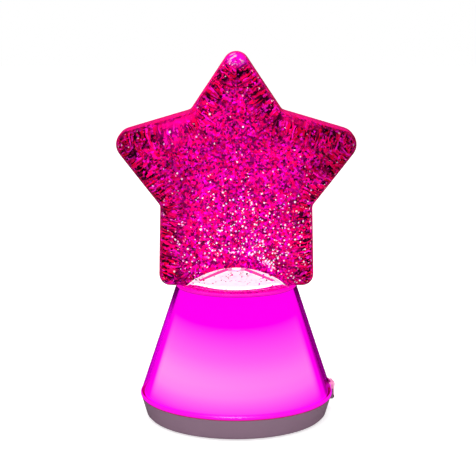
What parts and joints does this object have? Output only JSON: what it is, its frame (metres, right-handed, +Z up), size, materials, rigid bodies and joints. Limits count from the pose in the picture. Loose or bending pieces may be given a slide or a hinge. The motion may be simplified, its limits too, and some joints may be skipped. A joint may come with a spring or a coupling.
{
  "type": "glitter lamp",
  "caption": "Battery table lamp: a star-shaped bottle of glitter liquid on a lit translucent cone and plastic base, with a magnetic stirrer and a side rocker switch.",
  "frame": {"origin": "centre of the base, on the surface that the lamp stands on", "axes": "+Z up through the star's top tip, -Y towards the viewer, +X to the star's right-hand tip as seen from the front"},
  "size_m": [0.1696, 0.14, 0.2643],
  "materials": {
    "base_plastic": "fine moulded grain, mauve grey",
    "foot_rubber": "soft black rubber",
    "screw_steel": "zinc plated",
    "white_plastic": "moulded white",
    "cell_sleeve": "plain satin sleeve",
    "spring_steel": "nickel plated",
    "circuit_board": "satin lacquer",
    "led_lens": "clear lens over yellow phosphor",
    "switch_plastic": "translucent pinkish white",
    "rocker_plastic": "translucent pinkish white",
    "terminal_brass": "plain brass",
    "cone_clear": "glossy clear acrylic over the lit sleeve",
    "cone_frost": "frosted magenta sleeve, lit from inside",
    "cup_plastic": "translucent magenta",
    "motor_steel": "drawn steel can",
    "shaft_steel": "ground steel",
    "magnet": "nickel plated magnet",
    "plug_plastic": "milky white, lit from below",
    "stirrer_clear": "milky clear plastic, lit from below",
    "bottle_clear": "glossy clear acrylic",
    "glitter_liquid": "dense magenta, pink and silver glitter in clear liquid",
    "lead_red": "plain sleeve",
    "lead_black": "plain sleeve"
  },
  "bodies": {
    "lamp": {"base_cup": "base_plastic", "rubber_feet": "foot_rubber", "base_screws": "screw_steel", "battery_box": "white_plastic", "battery_cells": "cell_sleeve", "battery_springs": "spring_steel", "battery_contacts": "spring_steel", "led_board": "circuit_board", "led_chips": "led_lens", "board_screws": "screw_steel", "switch_housing": "switch_plastic", "switch_pin": "screw_steel", "switch_terminals": "terminal_brass", "cone_shade": "cone_clear", "cone_diffuser": "cone_frost", "bottle_cup": "cup_plastic", "motor_can": "motor_steel", "motor_screws": "screw_steel", "bottle_plug": "plug_plastic", "plug_seal": "foot_rubber", "stirrer_pin": "plug_plastic", "star_bottle": "bottle_clear", "glitter_liquid": "glitter_liquid", "motor_leads": "lead_red", "battery_leads": "lead_black", "switch_leads": "lead_black"},
    "rocker": {"switch_rocker": "rocker_plastic"},
    "rotor": {"motor_shaft": "shaft_steel", "magnet_carrier": "white_plastic", "drive_magnets": "magnet"},
    "spinner": {"stirrer": "stirrer_clear", "stirrer_magnets": "magnet"},
    "door": {"battery_door": "base_plastic", "door_screws": "screw_steel"}
  },
  "joints": [
    {"name": "switch_rock", "type": "hinge", "parent": "lamp", "child": "rocker", "pos_m": [0.0697, 0.01355, 0.015], "axis": [-0.1908, 0.9816, 0], "range_deg": [-14, 0]},
    {"name": "rotor_spin", "type": "hinge", "parent": "lamp", "child": "rotor", "pos_m": [0, 0, 0.085], "axis": [0, 0, 1], "continuous": true},
    {"name": "stirrer_spin", "type": "hinge", "parent": "lamp", "child": "spinner", "pos_m": [0, 0, 0.1], "axis": [0, 0, 1], "continuous": true},
    {"name": "door_lift", "type": "slide", "parent": "lamp", "child": "door", "axis": [0, 0, -1], "range_m": [0, 0.03]}
  ],
  "couplings": [
    {"joint": "stirrer_spin", "follows": "rotor_spin", "ratio": 1}
  ]
}
